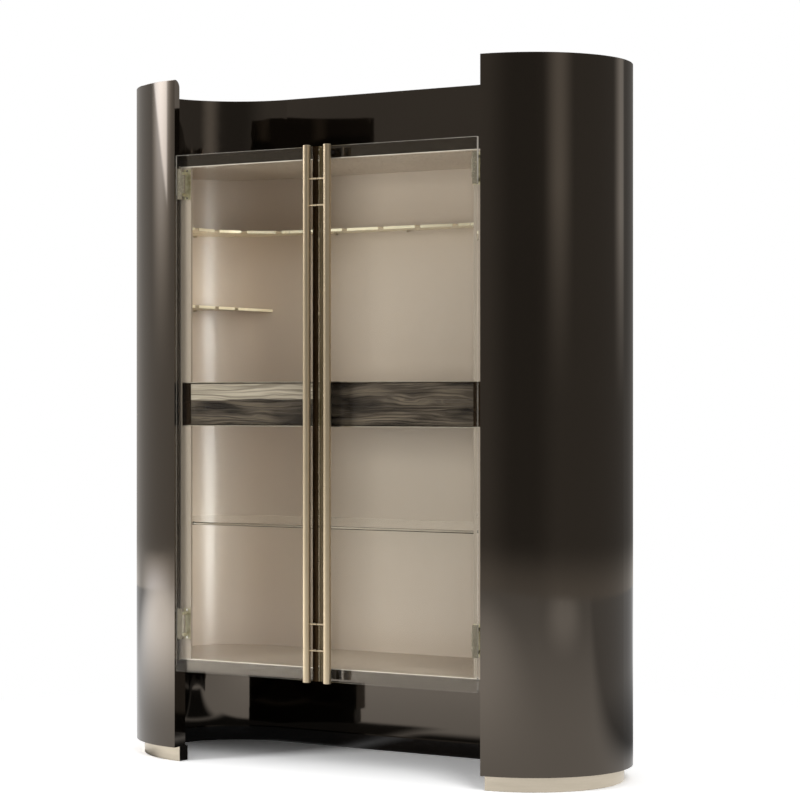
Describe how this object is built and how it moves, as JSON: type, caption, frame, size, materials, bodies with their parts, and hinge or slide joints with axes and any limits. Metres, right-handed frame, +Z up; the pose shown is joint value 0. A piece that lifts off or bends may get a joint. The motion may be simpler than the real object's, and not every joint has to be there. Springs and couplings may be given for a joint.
{
  "type": "glass display cabinet",
  "caption": "Free-standing display cabinet with a curved high-gloss shell, glazed double doors with long round pull rods, shelves and stemware racks.",
  "frame": {"origin": "on the floor, in the symmetry plane, midway between the front of the pull rods and the back of the shell", "axes": "+Z up, +X to the right as seen from the front, the doors face -Y"},
  "size_m": [1.6, 0.6134, 1.996],
  "materials": {
    "shell_lacquer": "high gloss dark bronze-brown lacquer on bent board",
    "plinth_core": "matt dark brown lacquer",
    "plinth_skin": "satin champagne",
    "deck_board": "raw board, hidden",
    "deck_panel": "gloss dark brown lacquer",
    "fascia": "gloss dark bronze-brown lacquer",
    "dowel": "raw beech",
    "lining": "satin taupe lacquer",
    "stile": "satin beige",
    "filler": "matt dark brown",
    "band": "gloss streaked dark veneer",
    "trim": "dark bronze",
    "shelf": "satin dark brown",
    "clear_glass": "polished clear",
    "rack": "satin pale brass",
    "pin": "nickel",
    "bar": "satin dark bronze",
    "rod": "satin champagne brass",
    "hinge": "satin nickel",
    "catch": "matt dark"
  },
  "bodies": {
    "cabinet": {"back_lining": "lining", "back_panel": "shell_lacquer", "band_end_plates": "trim", "band_panel": "band", "band_trim_lower": "trim", "band_trim_upper": "trim", "base_liner_back": "shell_lacquer", "base_liner_left": "shell_lacquer", "base_liner_right": "shell_lacquer", "bracket_screws": "pin", "ceiling_panel": "deck_panel", "deck_dowels": "dowel", "door_catches": "catch", "floor_panel": "deck_panel", "glass_shelf": "clear_glass", "hinge_pins": "pin", "left_filler": "filler", "left_hinge_brackets": "hinge", "left_lining": "lining", "left_short_rack": "rack", "left_stile": "stile", "left_wing": "shell_lacquer", "long_rack": "rack", "lower_deck": "deck_board", "lower_fascia": "fascia", "mid_shelf": "shelf", "plinth_core_back": "plinth_core", "plinth_core_left": "plinth_core", "plinth_core_right": "plinth_core", "plinth_skin_back": "plinth_skin", "plinth_skin_left": "plinth_skin", "plinth_skin_right": "plinth_skin", "right_filler": "filler", "right_hinge_brackets": "hinge", "right_lining": "lining", "right_short_rack": "rack", "right_stile": "stile", "right_wing": "shell_lacquer", "shelf_pins": "pin", "shell_dowels": "dowel", "upper_deck": "deck_board", "upper_fascia": "fascia"},
    "left_door": {"left_door_glass": "clear_glass", "left_mounting_bar": "bar", "left_rod": "rod", "left_rungs": "rod", "left_hinge_leaves": "hinge", "left_striker": "pin"},
    "right_door": {"right_door_glass": "clear_glass", "right_mounting_bar": "bar", "right_rod": "rod", "right_rungs": "rod", "right_hinge_leaves": "hinge", "right_striker": "pin"}
  },
  "joints": [
    {"name": "left_door_hinge", "type": "hinge", "parent": "cabinet", "child": "left_door", "pos_m": [-0.487, -0.2603, 1.0205], "axis": [0, 0, -1], "range_deg": [0, 95]},
    {"name": "right_door_hinge", "type": "hinge", "parent": "cabinet", "child": "right_door", "pos_m": [0.487, -0.2603, 1.0205], "axis": [0, 0, 1], "range_deg": [0, 95]}
  ]
}
